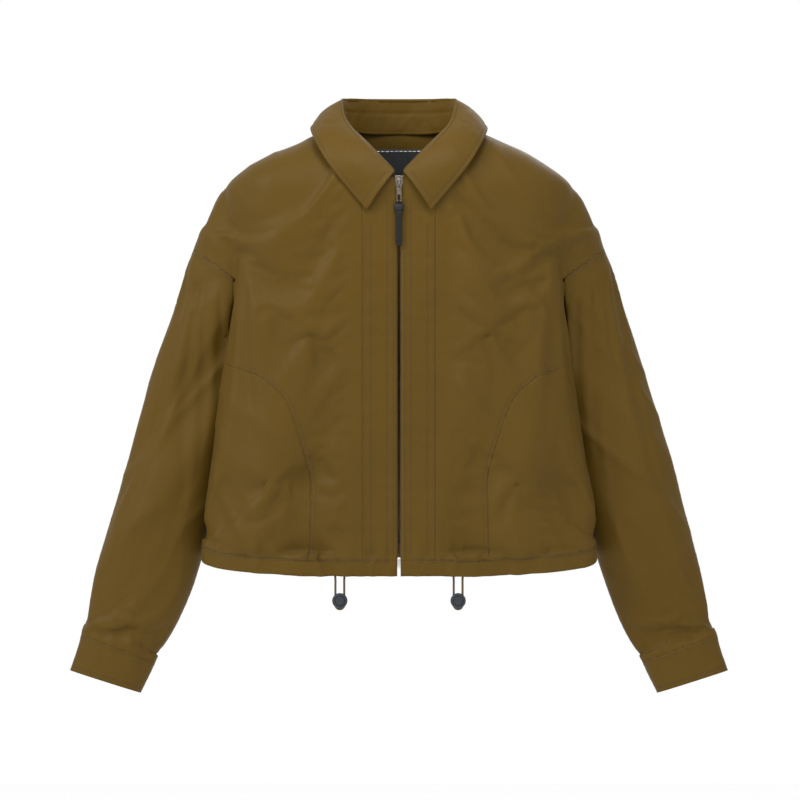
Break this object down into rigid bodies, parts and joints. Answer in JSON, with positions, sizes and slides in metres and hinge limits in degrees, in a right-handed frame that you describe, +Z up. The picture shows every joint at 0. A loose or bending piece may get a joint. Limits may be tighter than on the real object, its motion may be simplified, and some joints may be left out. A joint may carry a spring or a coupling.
{
  "type": "cropped zip jacket",
  "caption": "Cropped cloth jacket with a shirt collar, dropped sleeves, a front zip, curved pocket seams and a hem tightened by drawcords with cord locks.",
  "frame": {"origin": "centre-back neck point, on the seam between the collar and the back", "axes": "+Z up as worn, the front with the zip faces -Y, +X towards the jacket's right-hand side as seen from the front"},
  "size_m": [0.84, 0.1806, 0.7573],
  "materials": {
    "olive_cloth": "tightly woven olive-brown taffeta with a soft sheen",
    "olive_cord": "braided round cord",
    "black_cloth": "black woven label with a white running stitch",
    "brown_coil": "dark brown nylon coil",
    "slate_plastic": "dark slate moulded plastic, satin",
    "gunmetal": "warm gunmetal plating, satin",
    "steel": "bright pressed metal",
    "black_leather": "black leather and rubber, matte"
  },
  "bodies": {
    "root": {"back_panel": "olive_cloth", "left_front_panel": "olive_cloth", "right_front_panel": "olive_cloth", "left_pocket_panel": "olive_cloth", "right_pocket_panel": "olive_cloth", "left_placket": "olive_cloth", "right_placket": "olive_cloth", "left_pocket_bag": "olive_cloth", "right_pocket_bag": "olive_cloth", "back_hem_band": "olive_cloth", "left_hem_band": "olive_cloth", "right_hem_band": "olive_cloth", "hem_facing": "olive_cloth", "back_neck_facing": "olive_cloth", "collar_leaf": "olive_cloth", "collar_stand": "olive_cloth", "left_zip_tape": "olive_cloth", "right_zip_tape": "olive_cloth", "hem_drawcord": "olive_cord", "left_cord_loop": "olive_cord", "right_cord_loop": "olive_cord", "neck_label": "black_cloth", "left_zip_coil": "brown_coil", "right_zip_coil": "brown_coil", "left_zip_top_stop": "steel", "right_zip_top_stop": "steel", "zip_retainer_box": "steel", "zip_insertion_pin": "steel"},
    "left_sleeve": {"left_sleeve": "olive_cloth", "left_cuff": "olive_cloth"},
    "right_sleeve": {"right_sleeve": "olive_cloth", "right_cuff": "olive_cloth"},
    "zip_slider": {"zip_slider": "gunmetal", "zip_bail": "gunmetal"},
    "zip_pull": {"zip_pull_tab": "gunmetal"},
    "pull_strap": {"zip_pull_strap": "black_leather"},
    "left_lock": {"left_lock_body": "slate_plastic"},
    "left_button": {"left_lock_button": "slate_plastic"},
    "right_lock": {"right_lock_body": "slate_plastic"},
    "right_button": {"right_lock_button": "slate_plastic"}
  },
  "joints": [
    {"name": "zip_slide", "type": "slide", "parent": "root", "child": "zip_slider", "axis": [0, 0, -1], "range_m": [0, 0.47]},
    {"name": "pull_swing", "type": "hinge", "parent": "zip_slider", "child": "zip_pull", "pos_m": [0, -0.1536, -0.0666], "axis": [-1, 0, 0], "range_deg": [0, 120]},
    {"name": "strap_swing", "type": "hinge", "parent": "zip_pull", "child": "pull_strap", "pos_m": [0, -0.1536, -0.0933], "axis": [-1, 0, 0], "range_deg": [0, 60]},
    {"name": "left_sleeve_raise", "type": "hinge", "parent": "root", "child": "left_sleeve", "pos_m": [-0.262, -0.054, -0.153], "axis": [0, 1, 0], "range_deg": [0, 60]},
    {"name": "right_sleeve_raise", "type": "hinge", "parent": "root", "child": "right_sleeve", "pos_m": [0.262, -0.054, -0.153], "axis": [0, -1, 0], "range_deg": [0, 60]},
    {"name": "left_lock_slide", "type": "slide", "parent": "root", "child": "left_lock", "axis": [0, 0, 1], "range_m": [0, 0.018]},
    {"name": "left_button_press", "type": "slide", "parent": "left_lock", "child": "left_button", "axis": [0, 1, 0], "range_m": [0, 0.002], "stiffness_N_per_m": 600},
    {"name": "right_lock_slide", "type": "slide", "parent": "root", "child": "right_lock", "axis": [0, 0, 1], "range_m": [0, 0.018]},
    {"name": "right_button_press", "type": "slide", "parent": "right_lock", "child": "right_button", "axis": [0, 1, 0], "range_m": [0, 0.002], "stiffness_N_per_m": 600}
  ]
}
